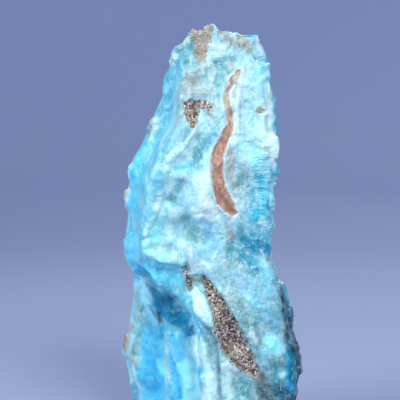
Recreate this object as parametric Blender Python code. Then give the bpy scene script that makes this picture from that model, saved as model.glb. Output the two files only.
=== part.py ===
# Rough blue aragonite: one broken, tapering slab that stands on its fractured base.
# Metres, +Z up. The narrow broken face looks along -Y, and the grown skin is on the -X side.
# Sizes, outlines, strokes and chips are in millimetres, and the stone becomes metres at the end.

import bmesh
import bpy
from mathutils import Vector, noise

MM = 0.001

# Overall size of the stone
HEIGHT = 77.0
WIDTH = 34.5
DEPTH = 32.0

# Cells of the skin across, in depth and up
ACROSS = 20
DEEP = 20
UP = 50

# The four long edges of the slab, each as (height, across, depth) from the base up
EDGES = {
    "front_left": (
        (0, 4.5, -13.5), (12, 3.0, -15.0), (20.8, 2.2, -15.5), (23, 1.5, -15.5), (25, 0.0, -15.5),
        (27.5, -2.8, -14.6), (29.8, -5.8, -13.0), (31, -9.3, -11.4), (32.5, -11.4, -10.2),
        (35, -12.8, -9.6), (38, -13.2, -9.8), (41, -12.4, -10.5), (44, -10.8, -12.0),
        (47, -9.6, -13.0), (51, -8.5, -12.8), (54, -7.2, -12.5), (57, -4.6, -12.8),
        (60, -3.8, -12.5), (65, -4.4, -11.5), (70, -4.3, -10.0), (74, -3.6, -8.5), (79, -2.8, -7.0),
    ),
    "front_right": (
        (0, 14.5, -12.0), (8, 16.0, -13.0), (15, 16.6, -13.5), (20, 15.4, -14.5), (26, 13.4, -15.0),
        (33, 11.6, -15.0), (40, 11.0, -15.0), (46, 11.4, -14.5), (52, 12.4, -13.5),
        (56, 12.8, -13.0), (61, 11.9, -12.0), (67, 12.1, -11.0), (72, 12.3, -9.5), (75, 11.9, -8.0),
        (79, 10.8, -7.0),
    ),
    "back_right": (
        (0, 14.0, 17.0), (8, 16.5, 17.5), (16, 18.2, 15.0), (24, 17.0, 13.0), (29, 14.2, 12.0),
        (33, 11.6, 11.0), (42, 11.0, 9.5), (52, 10.8, 8.0), (60, 10.4, 6.0), (68, 9.4, 4.0),
        (74, 7.6, 2.0), (79, 6.0, 0.0),
    ),
    "back_left": (
        (0, -15.6, 12.0), (8, -17.8, 13.0), (16, -17.9, 12.0), (21, -15.8, 10.5), (28, -15.0, 9.5),
        (36, -15.0, 8.5), (44, -16.4, 7.5), (52, -16.4, 6.5), (57, -12.8, 6.0), (62, -9.6, 5.0),
        (68, -7.6, 3.5), (72, -7.3, 2.0), (75, -6.4, 1.0), (79, -5.2, 0.0),
    ),
}

# Height of the broken top over each edge, and how far the middle of each wall swells outwards
TOP = {"front_left": 77.2, "front_right": 76.0, "back_right": 69.6, "back_left": 71.4}
SWELL = {"front": 0.9, "right": 0.8, "back": 2.2, "left": 0.5}

# The way each wall looks, with the two axes that its strokes are drawn on
WALLS = {
    "front": (Vector((0, -1, 0)), (0, 2)),
    "right": (Vector((1, 0, 0)), (1, 2)),
    "back": (Vector((0, 1, 0)), (0, 2)),
    "left": (Vector((-1, 0, 0)), (1, 2)),
    "top": (Vector((0, 0, 1)), (0, 1)),
    "base": (Vector((0, 0, -1)), (0, 1)),
}

# Forms worked into the walls: wall, route on it, reach to each side, and rise (minus digs in)
FORMS = {
    "rim of the lobe": (
        "front", ((-9.6, 44.6), (-10.8, 40.4), (-9.8, 37.0), (-7.0, 36.6), (-3.2, 36.2)), 2.6, 1.5),
    "underside of the lobe": ("front", ((-9.6, 33.6), (-5.4, 33.6)), 3.2, -0.8),
    "crest from the upper pit": (
        "front", ((-3.0, 59.8), (-4.6, 57.2), (-6.6, 55.6), (-8.0, 53.6), (-9.0, 49.0)), 2.8, 1.2),
    "pale plateau": ("front", ((0.4, 53.0), (-0.6, 50.0), (0.2, 46.6)), 4.6, 1.1),
    "dimple under the crest": ("front", ((-5.6, 48.4), (-6.2, 46.2)), 3.2, -1.1),
    "hollow beside the vein": ("front", ((-1.8, 58.8), (-1.6, 56.2)), 3.0, -1.0),
    "glassy hollow": ("front", ((-5.4, 41.6), (-0.4, 40.6)), 3.8, -1.1),
    "ridge over the bar": ("front", ((-3.4, 38.2), (1.6, 37.6), (5.0, 34.0)), 2.8, 0.8),
    "deep blue hollow": ("front", ((8.4, 40.6), (10.4, 39.4)), 3.8, -1.3),
    "shoulder": ("front", ((10.2, 59.0), (11.0, 55.6)), 4.2, 0.9),
    "scoop above the deep blue": ("front", ((6.0, 50.6), (9.4, 47.0)), 4.4, -0.8),
    "upper pit": ("front", ((-2.8, 63.6), (0.4, 64.0)), 2.6, -1.3),
    "toe of the upper pit": ("front", ((-2.2, 62.6), (-2.2, 60.4)), 2.2, -1.0),
    "gritty band": (
        "front", ((-0.2, 32.6), (1.6, 29.0), (3.4, 25.4), (5.2, 21.8), (8.6, 16.8)), 3.2, -1.2),
    "gritty fork": ("front", ((-3.2, 36.2), (-2.8, 31.4)), 2.2, -0.8),
    "white lip": ("front", ((-1.8, 29.6), (-0.6, 27.2), (1.2, 24.8)), 2.6, 0.9),
    "bar beside the band": ("front", ((0.8, 35.6), (3.6, 31.0), (6.2, 25.6)), 2.4, 0.9),
    "seam beside the bar": ("front", ((6.8, 30.2), (8.6, 25.6), (11.0, 23.2)), 2.4, -0.9),
    "swelling by the right edge": ("front", ((10.4, 33.6), (11.6, 27.6)), 3.4, 0.7),
    "hollow at the foot": ("front", ((6.0, 14.6), (9.8, 12.4)), 3.6, -1.0),
    "front foot": ("front", ((5.0, 8.6), (11.0, 6.0)), 3.8, 0.9),
    "step of the crown": ("front", ((-1.6, 72.4), (1.4, 71.8), (5.0, 69.6)), 2.4, -0.8),
    "gritty crown": ("front", ((-1.8, 76.4), (-0.8, 73.6)), 2.6, -0.7),
    "notch right of the crown": ("front", ((7.6, 74.6), (8.0, 71.0)), 2.4, -0.6),
    "pocket under the lobe": ("left", ((-8.2, 28.6), (-7.4, 25.6)), 5.6, -4.0),
    "curtain fold by the front": ("left", ((-12.0, 21.0), (-11.6, 12.0), (-11.4, 1.0)), 2.6, 1.2),
    "first groove": ("left", ((-9.2, 24.4), (-8.4, 14.0), (-7.8, 0.0)), 2.4, -1.9),
    "middle curtain fold": ("left", ((-4.8, 22.4), (-4.2, 12.0), (-4.0, 1.0)), 3.2, 1.8),
    "second groove": ("left", ((-2.0, 25.4), (-0.4, 17.0), (1.0, 8.0), (1.4, 0.0)), 2.4, -1.9),
    "back curtain fold": ("left", ((4.4, 24.6), (5.0, 15.0), (4.6, 5.0)), 3.8, 1.5),
    "upper knob": ("left", ((7.0, 21.6), (7.4, 19.6)), 3.0, 0.8),
    "lower knob": ("left", ((2.6, 13.0), (3.0, 10.8)), 2.8, 0.8),
    "waist of the flank": ("left", ((1.0, 31.4), (6.6, 30.0)), 4.8, -0.8),
    "swelling over the lobe": ("left", ((-4.6, 42.4), (-4.0, 38.0)), 4.6, 0.6),
    "long flute": ("left", ((-4.4, 70.0), (-4.8, 60.0), (-5.4, 52.0)), 2.8, -1.1),
    "flute by the back": ("left", ((1.6, 64.0), (2.4, 54.0), (2.2, 45.0)), 3.0, -1.0),
    "rib between the flutes": ("left", ((-1.4, 68.0), (-1.6, 58.0), (-2.0, 50.0)), 2.4, 0.8),
    "brown nub of the flank": ("left", ((-0.6, 46.6), (-0.4, 45.4)), 2.2, 0.9),
    "white nub of the flank": ("left", ((-1.0, 61.4), (-0.6, 59.6)), 2.4, 0.6),
    "ledge of the right wall": ("right", ((-8.6, 60.0), (-7.4, 48.0), (-5.4, 38.0)), 3.2, 0.6),
    "upper scoop of the right wall": ("right", ((0.0, 58.0), (1.0, 46.0)), 5.0, -1.4),
    "lower scoop of the right wall": ("right", ((0.0, 26.0), (3.0, 14.0)), 6.0, -1.8),
    "rib of the right wall": ("right", ((-1.0, 24.0), (3.0, 28.0), (7.6, 29.0)), 3.0, 0.9),
    "heel of the right wall": ("right", ((10.0, 14.0), (9.0, 4.0)), 4.0, 1.0),
    "ridge of the back": ("back", ((0.0, 66.0), (-1.6, 52.0), (2.4, 38.0), (6.0, 28.0)), 4.2, 1.5),
    "hollow left of the ridge": ("back", ((-7.4, 54.0), (-6.4, 38.0)), 4.6, -1.4),
    "hollow right of the ridge": ("back", ((8.0, 46.0), (9.6, 28.0)), 4.4, -1.5),
    "swelling low on the back": ("back", ((-6.6, 14.0), (2.0, 10.0)), 5.6, 1.0),
    "step low on the back": ("back", ((-8.0, 27.0), (0.0, 20.0), (7.0, 17.0)), 3.6, -1.0),
    "dip of the top": ("top", ((-1.0, -4.4), (4.0, -3.0)), 3.0, -1.0),
    "arch of the base": ("base", ((-3.0, 2.0), (4.0, 1.0)), 6.5, -1.2),
}

# Flat breaks: a point on each and the way it looks. What stands beyond one is broken off.
CHIPS = {
    "crown corner": ((-2.4, -7.0, 75.7), (-0.8, 0.1, 0.58)),
    "top corner": ((11.4, -5.0, 74.0), (0.75, -0.1, 0.65)),
    "top behind": ((1.0, 0.0, 73.2), (-0.15, 0.55, 0.82)),
    "right wall, high": ((12.3, -3.0, 56.0), (0.97, 0.15, 0.18)),
    "right wall, back corner": ((14.2, 11.0, 36.0), (0.72, 0.66, 0.2)),
    "back, high": ((-5.0, 8.6, 60.0), (-0.45, 0.86, 0.24)),
    "back, waist": ((-3.0, 13.2, 26.0), (-0.25, 0.95, -0.18)),
    "back, middle": ((4.0, 12.2, 40.0), (0.2, 0.97, 0.12)),
    "back, left corner": ((-13.0, 9.6, 22.0), (-0.74, 0.66, 0.1)),
    "back foot, left": ((-9.0, 14.6, 6.0), (-0.5, 0.8, -0.34)),
    "back foot, middle": ((4.0, 16.6, 4.0), (0.05, 0.88, -0.47)),
    "back foot, right": ((13.0, 16.4, 8.0), (0.6, 0.78, -0.14)),
    "right foot": ((15.8, 2.0, 2.4), (0.8, 0.1, -0.6)),
    "left foot": ((-13.4, 4.0, 1.6), (-0.72, 0.1, -0.69)),
    "front foot": ((9.0, -13.6, 2.6), (0.15, -0.85, -0.5)),
}

# Lumps all over the stone, each as (size, height)
LUMPS = ((9.0, 0.55), (4.2, 0.3))

# How far a stroke strays from its route, and over what length it does so
WANDER = 0.8
WANDER_SIZE = 5.0

# Depth cut off the uneven base, which leaves flat places for the stone to stand on
BASE_CUT = 1.1

# Turns of evening out the cells before and after the forms, and of softening the edges behind
EVENING = 30
SETTLING = 3
BACK_ROUNDING = 6

# Share of the way that a vertex moves in one turn: to its neighbours, and out of the skin
STEP = 0.5
SETTLING_ROUNDING = 0.12


def at_height(edge, height):
    """Place of a long edge at a height, between the two stations beside it."""
    stations = EDGES[edge]
    for low, high in zip(stations, stations[1:]):
        if height <= high[0]:
            share = max(0.0, (height - low[0]) / (high[0] - low[0]))
            return Vector(low[1:]).lerp(Vector(high[1:]), share)
    return Vector(stations[-1][1:])


def bilinear(corners, across, deep):
    """Blend of four corner values, ordered front left, front right, back right, back left."""
    front = corners[0] * (1 - across) + corners[1] * across
    back = corners[3] * (1 - across) + corners[2] * across
    return front * (1 - deep) + back * deep


def arch(share):
    """Rises from 0 at either end to 1 in the middle."""
    return 4 * share * (1 - share)


def block():
    """A box of square cells with corners at 0 and 1, which the slab is formed from."""
    bm = bmesh.new()
    bmesh.ops.create_cube(bm, size=1.0)
    bmesh.ops.translate(bm, verts=bm.verts, vec=(0.5, 0.5, 0.5))
    for axis, cells in enumerate((ACROSS, DEEP, UP)):
        along = [e for e in bm.edges if abs((e.verts[0].co - e.verts[1].co)[axis]) > 0.5]
        bmesh.ops.subdivide_edges(bm, edges=along, cuts=cells - 1, use_grid_fill=True)
    return bm


def form_slab(bm):
    """Moves each vertex of the block to its place between the four long edges."""
    names = ("front_left", "front_right", "back_right", "back_left")
    tops = [TOP[name] for name in names]
    for vert in bm.verts:
        across, deep, up = vert.co
        height = up * bilinear(tops, across, deep)
        place = bilinear([at_height(name, height) for name in names], across, deep)
        place.y += arch(across) * (SWELL["back"] * deep - SWELL["front"] * (1 - deep))
        place.x += arch(deep) * (SWELL["right"] * across - SWELL["left"] * (1 - across))
        vert.co = Vector((place.x, place.y, height))
    bmesh.ops.smooth_vert(bm, verts=bm.verts, factor=STEP, use_axis_x=True, use_axis_y=True)


def break_off(bm):
    """Presses what stands beyond each chip back onto it."""
    for point, looks in CHIPS.values():
        looks = Vector(looks).normalized()
        for vert in bm.verts:
            vert.co -= looks * max(0.0, (vert.co - Vector(point)).dot(looks))


def round_back(bm):
    """Softens the edges behind the middle of the stone, which are worn rounder."""
    behind = [vert for vert in bm.verts if vert.co.y > 0]
    for _ in range(BACK_ROUNDING):
        bmesh.ops.smooth_vert(
            bm, verts=behind, factor=STEP, use_axis_x=True, use_axis_y=True, use_axis_z=True)


def even_out(bm, turns, rounding):
    """Slides the vertices along the skin, so that its cells come to about one size.

    A rounding above 0 also takes them that share of the way out of the skin, which softens edges.
    """
    for _ in range(turns):
        bm.normal_update()
        slides = []
        for vert in bm.verts:
            around = [edge.other_vert(vert).co for edge in vert.link_edges]
            step = sum(around, Vector()) / len(around) - vert.co
            slides.append(step - vert.normal * step.dot(vert.normal) * (1 - rounding))
        for vert, slide in zip(bm.verts, slides):
            vert.co += slide * STEP
    bm.normal_update()


def distance_to_route(point, route):
    """Shortest distance from a flat point to a route of straight stretches."""
    nearest = (point - Vector(route[0])).length
    for start, end in zip(route, route[1:]):
        start, stretch = Vector(start), Vector(end) - Vector(start)
        share = min(1.0, max(0.0, (point - start).dot(stretch) / stretch.length_squared))
        nearest = min(nearest, (point - start - stretch * share).length)
    return nearest


def wander(place):
    """Three unrelated unevennesses at a place, as one vector."""
    return Vector([noise.noise(place + Vector((far, 0, 0))) for far in (0, 40, 80)])


def work_forms(bm):
    """Raises each ridge and digs each hollow along its own normal."""
    for wall, route, reach, rise in FORMS.values():
        looks, (u, v) = WALLS[wall]
        for vert in bm.verts:
            place = vert.co + wander(vert.co / WANDER_SIZE) * WANDER
            facing = min(1.0, max(0.0, vert.normal.dot(looks) * 2))
            away = distance_to_route(Vector((place[u], place[v])), route) / reach
            if facing > 0 and away < 1:
                vert.co += vert.normal * rise * facing * (1 - away * away) ** 2
        bm.normal_update()


def roughen(bm):
    """Adds the uneven lumps of a broken stone."""
    bm.normal_update()
    for size, height in LUMPS:
        for vert in bm.verts:
            vert.co += vert.normal * height * noise.noise(vert.co / size)


def stand(bm):
    """Cuts the base flat, and fits the stone to its size over the middle of its base."""
    floor = min(vert.co.z for vert in bm.verts) + BASE_CUT
    for vert in bm.verts:
        vert.co.z = max(floor, vert.co.z)
    low = Vector([min(vert.co[axis] for vert in bm.verts) for axis in range(3)])
    high = Vector([max(vert.co[axis] for vert in bm.verts) for axis in range(3)])
    middle = Vector(((low.x + high.x) / 2, (low.y + high.y) / 2, low.z))
    fit = [size / (high - low)[axis] * MM for axis, size in enumerate((WIDTH, DEPTH, HEIGHT))]
    bmesh.ops.translate(bm, verts=bm.verts, vec=-middle)
    bmesh.ops.scale(bm, verts=bm.verts, vec=fit)


def stone_material():
    material = bpy.data.materials.new("blue_aragonite")
    material.use_nodes = True
    shader = material.node_tree.nodes["Principled BSDF"]
    shader.inputs["Base Color"].default_value = (0.26, 0.62, 0.75, 1.0)
    shader.inputs["Roughness"].default_value = 0.45
    shader.inputs["Metallic"].default_value = 0.0
    return material


def main():
    for old in list(bpy.data.objects):
        bpy.data.objects.remove(old)
    bm = block()
    form_slab(bm)
    break_off(bm)
    round_back(bm)
    even_out(bm, EVENING, 0)
    work_forms(bm)
    even_out(bm, SETTLING, SETTLING_ROUNDING)
    roughen(bm)
    stand(bm)
    mesh = bpy.data.meshes.new("blue_aragonite")
    bm.to_mesh(mesh)
    bm.free()
    mesh.shade_smooth()
    mesh.materials.append(stone_material())
    stone = bpy.data.objects.new("blue_aragonite", mesh)
    bpy.context.scene.collection.objects.link(stone)


main()
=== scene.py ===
import math
import random

import bmesh
import bpy
import numpy
from mathutils import Matrix, Vector, noise
from mathutils.bvhtree import BVHTree


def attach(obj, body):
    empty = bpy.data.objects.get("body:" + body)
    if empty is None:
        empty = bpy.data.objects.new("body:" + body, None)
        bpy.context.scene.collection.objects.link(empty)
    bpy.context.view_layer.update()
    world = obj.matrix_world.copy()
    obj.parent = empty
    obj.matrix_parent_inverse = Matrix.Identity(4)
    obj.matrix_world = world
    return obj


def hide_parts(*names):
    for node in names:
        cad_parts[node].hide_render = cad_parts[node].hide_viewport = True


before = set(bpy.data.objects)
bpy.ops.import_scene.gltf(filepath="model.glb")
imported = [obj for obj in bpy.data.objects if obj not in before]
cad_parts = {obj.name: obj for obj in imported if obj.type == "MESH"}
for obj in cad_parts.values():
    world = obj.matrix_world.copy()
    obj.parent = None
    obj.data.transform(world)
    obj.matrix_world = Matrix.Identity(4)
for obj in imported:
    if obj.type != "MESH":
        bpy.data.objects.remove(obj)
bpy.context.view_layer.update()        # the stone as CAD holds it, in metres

mm = 0.001

# The photograph's view
shot = {
    "lens": 105.0,
    "sensor": 36.0,
    "clip": (0.01, 10.0),            # m
    "elevation": 6.0,                # degrees above the horizon
    "distance": 205.3,               # mm
    "target": (-2.1, -13.8, 46.5),   # mm
    "frame": 400,                    # pixels each way
    "depthShare": 0.5,
    "stoneMiddle": 205,              # the pixel column towards which a pixel beside the stone is moved
    "fall": 0.5,                     # pixels that it also moves down at each try
    "tries": 40,
}

# A route on the stone is a list of (x, y, half width) in the photo's pixels, or from the side a list of
# (azimuth in degrees, height in mm, half width in mm). Each kind has the mm in a unit of its widths and the
# stride from sample to sample.
views = {
    "photo": {"unit": 0.176, "stride": 2.0},
    "side": {"unit": 1.0, "stride": 1.0, "from": 80},     # and the mm from the middle at which a look starts
}


def viewAxes():
    tilt = math.radians(shot["elevation"])
    forward = Vector((0.0, math.cos(tilt), -math.sin(tilt)))
    upward = Vector((0.0, math.sin(tilt), math.cos(tilt)))
    eye = Vector(shot["target"]) - forward * shot["distance"]
    return eye, forward, Vector((1.0, 0.0, 0.0)), upward


def makeCamera():
    eye, forward, sideways, upward = viewAxes()
    lens = bpy.data.cameras.new("photo_camera")
    lens.lens = shot["lens"]
    lens.sensor_width = shot["sensor"]
    lens.clip_start, lens.clip_end = shot["clip"]
    camera = bpy.data.objects.new("photo_camera", lens)
    camera.location = eye * mm
    camera.rotation_euler = forward.to_track_quat("-Z", "Y").to_euler()
    bpy.context.collection.objects.link(camera)
    bpy.context.scene.camera = camera


# The fine surface of the stone
surface = {
    "merge": 0.002,     # mm, under which the CAD points are one
    "smoothing": 2,     # subdivision levels that round the CAD facets
    "cell": 0.33,       # mm, side of the cells of the new mesh
}


def linkObject(name, mesh):
    piece = bpy.data.objects.new(name, mesh)
    bpy.context.collection.objects.link(piece)
    return piece


def meshOf(name, form):
    mesh = bpy.data.meshes.new(name)
    form.to_mesh(mesh)
    form.free()
    return mesh


def applied(piece):
    graph = bpy.context.evaluated_depsgraph_get()
    mesh = bpy.data.meshes.new_from_object(piece.evaluated_get(graph))
    piece.modifiers.clear()
    piece.data = mesh
    return piece


def fineStone():
    form = bmesh.new()
    form.from_mesh(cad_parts["blue_aragonite"].data)
    bmesh.ops.remove_doubles(form, verts=form.verts, dist=surface["merge"] * mm)
    stone = linkObject("aragonite_stone", meshOf("aragonite_stone", form))
    rounding = stone.modifiers.new("rounding", "SUBSURF")
    rounding.levels = rounding.render_levels = surface["smoothing"]
    cells = stone.modifiers.new("cells", "REMESH")
    cells.mode = "VOXEL"
    cells.voxel_size = surface["cell"] * mm
    return applied(stone)


class Skin:
    # The stone's points in mm, with its normals and neighbours, kept in arrays while it is worked on
    def __init__(self, stone):
        self.mesh = stone.data
        self.points = self.read(self.mesh.vertices, "co", 3) / mm
        self.pairs = self.read(self.mesh.edges, "vertices", 2, int)
        self.degree = numpy.bincount(self.pairs.ravel(), minlength=len(self.points))
        self.refresh()

    @staticmethod
    def read(items, key, width, kind=float):
        values = numpy.empty(len(items) * width, dtype=kind)
        items.foreach_get(key, values)
        return values.reshape(-1, width)

    # Distances along the line of sight count for less, so a stroke is as wide in the photo on a steep side
    @staticmethod
    def flattened(points):
        forward = numpy.array(viewAxes()[1])
        return points - (1 - shot["depthShare"]) * numpy.outer(points @ forward, forward)

    def refresh(self):
        self.mesh.vertices.foreach_set("co", (self.points * mm).ravel())
        self.mesh.update()
        self.normals = self.read(self.mesh.vertex_normals, "vector", 3)
        faces = [tuple(f.vertices) for f in self.mesh.polygons]
        self.tree = BVHTree.FromPolygons([tuple(p) for p in self.points], faces)

    def averaged(self, values, turns=1):
        for turn in range(turns):
            total = numpy.zeros_like(values)
            numpy.add.at(total, self.pairs[:, 0], values[self.pairs[:, 1]])
            numpy.add.at(total, self.pairs[:, 1], values[self.pairs[:, 0]])
            values = total / (self.degree if values.ndim == 1 else self.degree[:, None])
        return values

    def castPhoto(self, px, py):
        eye, forward, sideways, upward = viewAxes()
        scale = shot["sensor"] / shot["lens"] / shot["frame"]
        middle = shot["frame"] / 2
        for step in range(shot["tries"]):
            ray = forward + sideways * (px - middle) * scale + upward * (middle - py) * scale
            hit = self.tree.ray_cast(eye, ray.normalized())[0]
            if hit:
                return hit
            px += 1 if px < shot["stoneMiddle"] else -1
            py += shot["fall"]
        return None

    def castSide(self, azimuth, height):
        turn = math.radians(azimuth)
        out = Vector((math.sin(turn), -math.cos(turn), 0.0))
        return self.tree.ray_cast(out * views["side"]["from"] + Vector((0, 0, height)), -out)[0]

    def trace(self, view, route):
        cast = self.castPhoto if view == "photo" else self.castSide
        samples = []
        for a, b in zip(route, route[1:] or route):
            steps = max(1, int(math.hypot(b[0] - a[0], b[1] - a[1]) / views[view]["stride"]))
            for k in range(steps + 1):
                t = k / steps
                x, y, half = [p + (q - p) * t for p, q in zip(a, b)]
                hit = cast(x, y)
                if hit:
                    samples.append((*hit, half * views[view]["unit"]))
        return numpy.array(samples)

    # How far inside a stroke each point is, in mm: the stroke's own half width less the distance to its route
    def inside(self, view, route, reach, points):
        field = numpy.full(len(points), -float(reach))
        samples = self.trace(view, route)
        if not len(samples):
            return field
        if view == "photo":
            points = self.flattened(points)
            samples[:, :3] = self.flattened(samples[:, :3])
        margin = samples[:, 3].max() + reach
        near = numpy.flatnonzero(((points > samples[:, :3].min(0) - margin)
                                  & (points < samples[:, :3].max(0) + margin)).all(1))
        for sample in samples:
            gap = numpy.linalg.norm(points[near] - sample[:3], axis=1)
            field[near] = numpy.maximum(field[near], sample[3] - gap)
        return field

    # The same for the nearest of several routes, whose edges wander
    def grownIn(self, routes, reach=2.0):
        fields = []
        for view, group in routes.items():
            points = wandered(self.points, view)
            fields += [self.inside(view, route, reach, points) for route in group]
        return numpy.max(fields, axis=0)


# How far in space two seeds of noise lie apart
seedStep = {"noise": 7.31, "chips": 3.7}

# How edges and bands wander, in rounds of (size in mm, reach in mm, seed)
wander = {
    "photo": [(1.0, 0.10, 31)],
    "side": [(4.0, 0.8, 33), (1.2, 0.35, 34)],
    "breakage": [(3.0, 0.35, 40)],
    "strokes": [(2.6, 0.30, 21), (0.9, 0.12, 22)],
    "bands": [(7.0, 2.0, 11)],
}

# Flat chips: how much each leans, how far it stands out, and how the noise is read for both
chipForm = {"lean": 1.6, "lift": 0.6, "leanScale": 2.3, "liftScale": 1.7}
chipAxes = [(0, 0, 0), (9, 4, 7), (3, 8, 1)]


def noiseField(points, size, seed=0.0, octaves=1, stretch=(1, 1, 1)):
    scaled = points / size / numpy.array(stretch) + seed * seedStep["noise"]
    if octaves == 1:
        return numpy.array([noise.noise(Vector(p)) for p in scaled])
    return numpy.array([noise.fractal(Vector(p), 1.0, 2.0, octaves) for p in scaled])


def wandered(points, kind):
    for size, reach, seed in wander[kind]:
        shift = [noiseField(points, size, seed + k) for k in (1, 2, 3)]
        points = points + numpy.stack(shift, axis=1) * reach * 2
    return points


def smooth(values, low, high):
    t = numpy.clip((values - low) / (high - low), 0, 1)
    return t * t * (3 - 2 * t)


def chips(points, size, seed=0.0, blend=0.25):
    heights = []
    for p in points / size + seed * seedStep["chips"]:
        gaps, spots = noise.voronoi(Vector(p))
        weight = 0.5 + 0.5 * min(1.0, (gaps[1] - gaps[0]) / blend)
        height = 0.0
        for share, spot in ((weight, spots[0]), (1 - weight, spots[1])):
            lean = Vector([noise.noise(spot * chipForm["leanScale"] + Vector(axis)) for axis in chipAxes])
            height += share * (lean.dot(Vector(p) - spot) * chipForm["lean"]
                               + noise.noise(spot * chipForm["liftScale"]) * chipForm["lift"])
        heights.append(height)
    return numpy.array(heights)


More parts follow.
